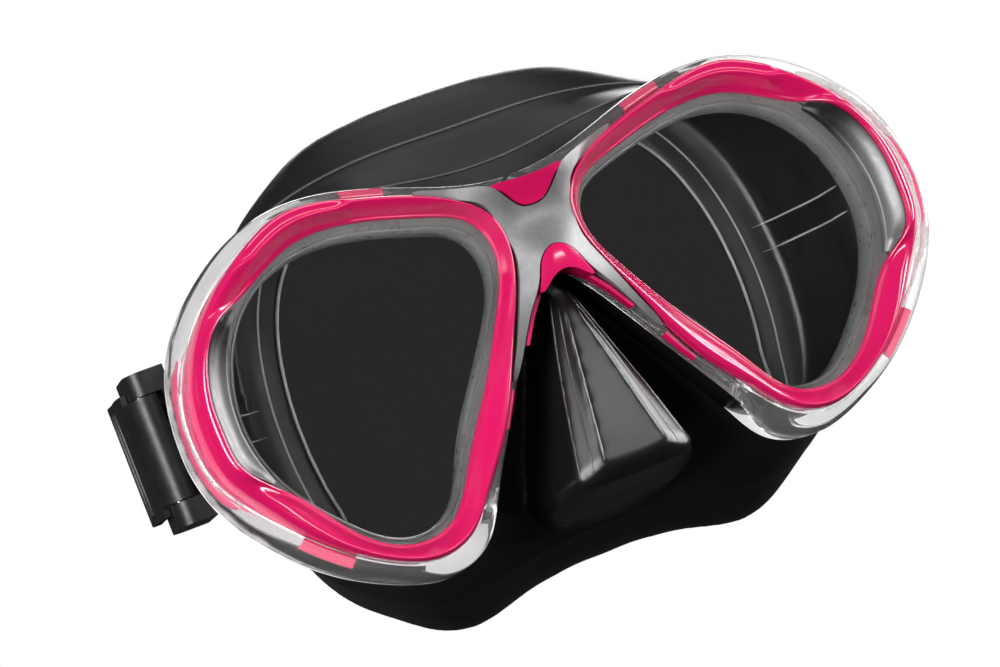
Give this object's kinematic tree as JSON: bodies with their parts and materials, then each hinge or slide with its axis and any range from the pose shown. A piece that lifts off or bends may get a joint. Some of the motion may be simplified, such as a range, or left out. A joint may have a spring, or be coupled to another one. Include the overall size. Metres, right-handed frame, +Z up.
{
  "type": "diving mask",
  "caption": "Low-volume twin-lens diving mask: clear frame, pink lens rings, satin trim, black silicone skirt, swivel buckles with release levers and a split head strap.",
  "frame": {"origin": "middle of the face opening, on the plane where the skirt's rim meets the face", "axes": "+X to the wearer's left, -Y the way the mask looks, +Y towards the wearer's face, +Z up"},
  "size_m": [0.186, 0.1293, 0.1177],
  "materials": {
    "clear_polycarbonate": "clear moulded polycarbonate",
    "tempered_glass": "clear tempered glass",
    "clear_gasket": "translucent grey silicone",
    "pink_plastic": "satin-gloss crimson pink",
    "satin_silver": "satin silver paint",
    "black_silicone": "smooth black silicone",
    "black_plastic": "black nylon",
    "stainless_steel": "stainless"
  },
  "bodies": {
    "mask": {"main_frame": "clear_polycarbonate", "lens_left": "tempered_glass", "lens_right": "tempered_glass", "lens_gasket_left": "clear_gasket", "lens_gasket_right": "clear_gasket", "bezel_left": "pink_plastic", "bezel_right": "pink_plastic", "temple_panel_left": "satin_silver", "temple_panel_right": "satin_silver", "bridge_cover": "satin_silver", "bridge_insert_top": "pink_plastic", "bridge_insert_arch": "pink_plastic", "skirt": "black_silicone", "swivel_stud_left": "black_plastic", "swivel_stud_right": "black_plastic"},
    "harness": {"head_strap": "black_silicone", "buckle_yoke_left": "black_plastic", "roller_pin_left": "stainless_steel", "lever_pin_left": "stainless_steel", "lever_spring_left": "stainless_steel", "buckle_yoke_right": "black_plastic", "roller_pin_right": "stainless_steel", "lever_pin_right": "stainless_steel", "lever_spring_right": "stainless_steel"},
    "lever_left": {"release_lever_left": "black_plastic"},
    "lever_right": {"release_lever_right": "black_plastic"},
    "roller_left": {"strap_roller_left": "black_plastic"},
    "roller_right": {"strap_roller_right": "black_plastic"}
  },
  "joints": [
    {"name": "strap_swivel", "type": "hinge", "parent": "mask", "child": "harness", "pos_m": [0, -0.025, 0.007], "axis": [1, 0, 0], "range_deg": [-35, 35]},
    {"name": "release_lever_left_lift", "type": "hinge", "parent": "harness", "child": "lever_left", "pos_m": [0.0884, -0.018, 0.007], "axis": [0, 0, -1], "range_deg": [0, 20], "stiffness_Nm_per_rad": 0.05, "springref_deg": -5.73},
    {"name": "strap_roller_left_spin", "type": "hinge", "parent": "harness", "child": "roller_left", "pos_m": [0.0871, -0.011, 0.007], "axis": [0, 0, 1], "continuous": true},
    {"name": "release_lever_right_lift", "type": "hinge", "parent": "harness", "child": "lever_right", "pos_m": [-0.0884, -0.018, 0.007], "axis": [0, 0, 1], "range_deg": [0, 20], "stiffness_Nm_per_rad": 0.05, "springref_deg": -5.73},
    {"name": "strap_roller_right_spin", "type": "hinge", "parent": "harness", "child": "roller_right", "pos_m": [-0.0871, -0.011, 0.007], "axis": [0, 0, 1], "continuous": true}
  ]
}
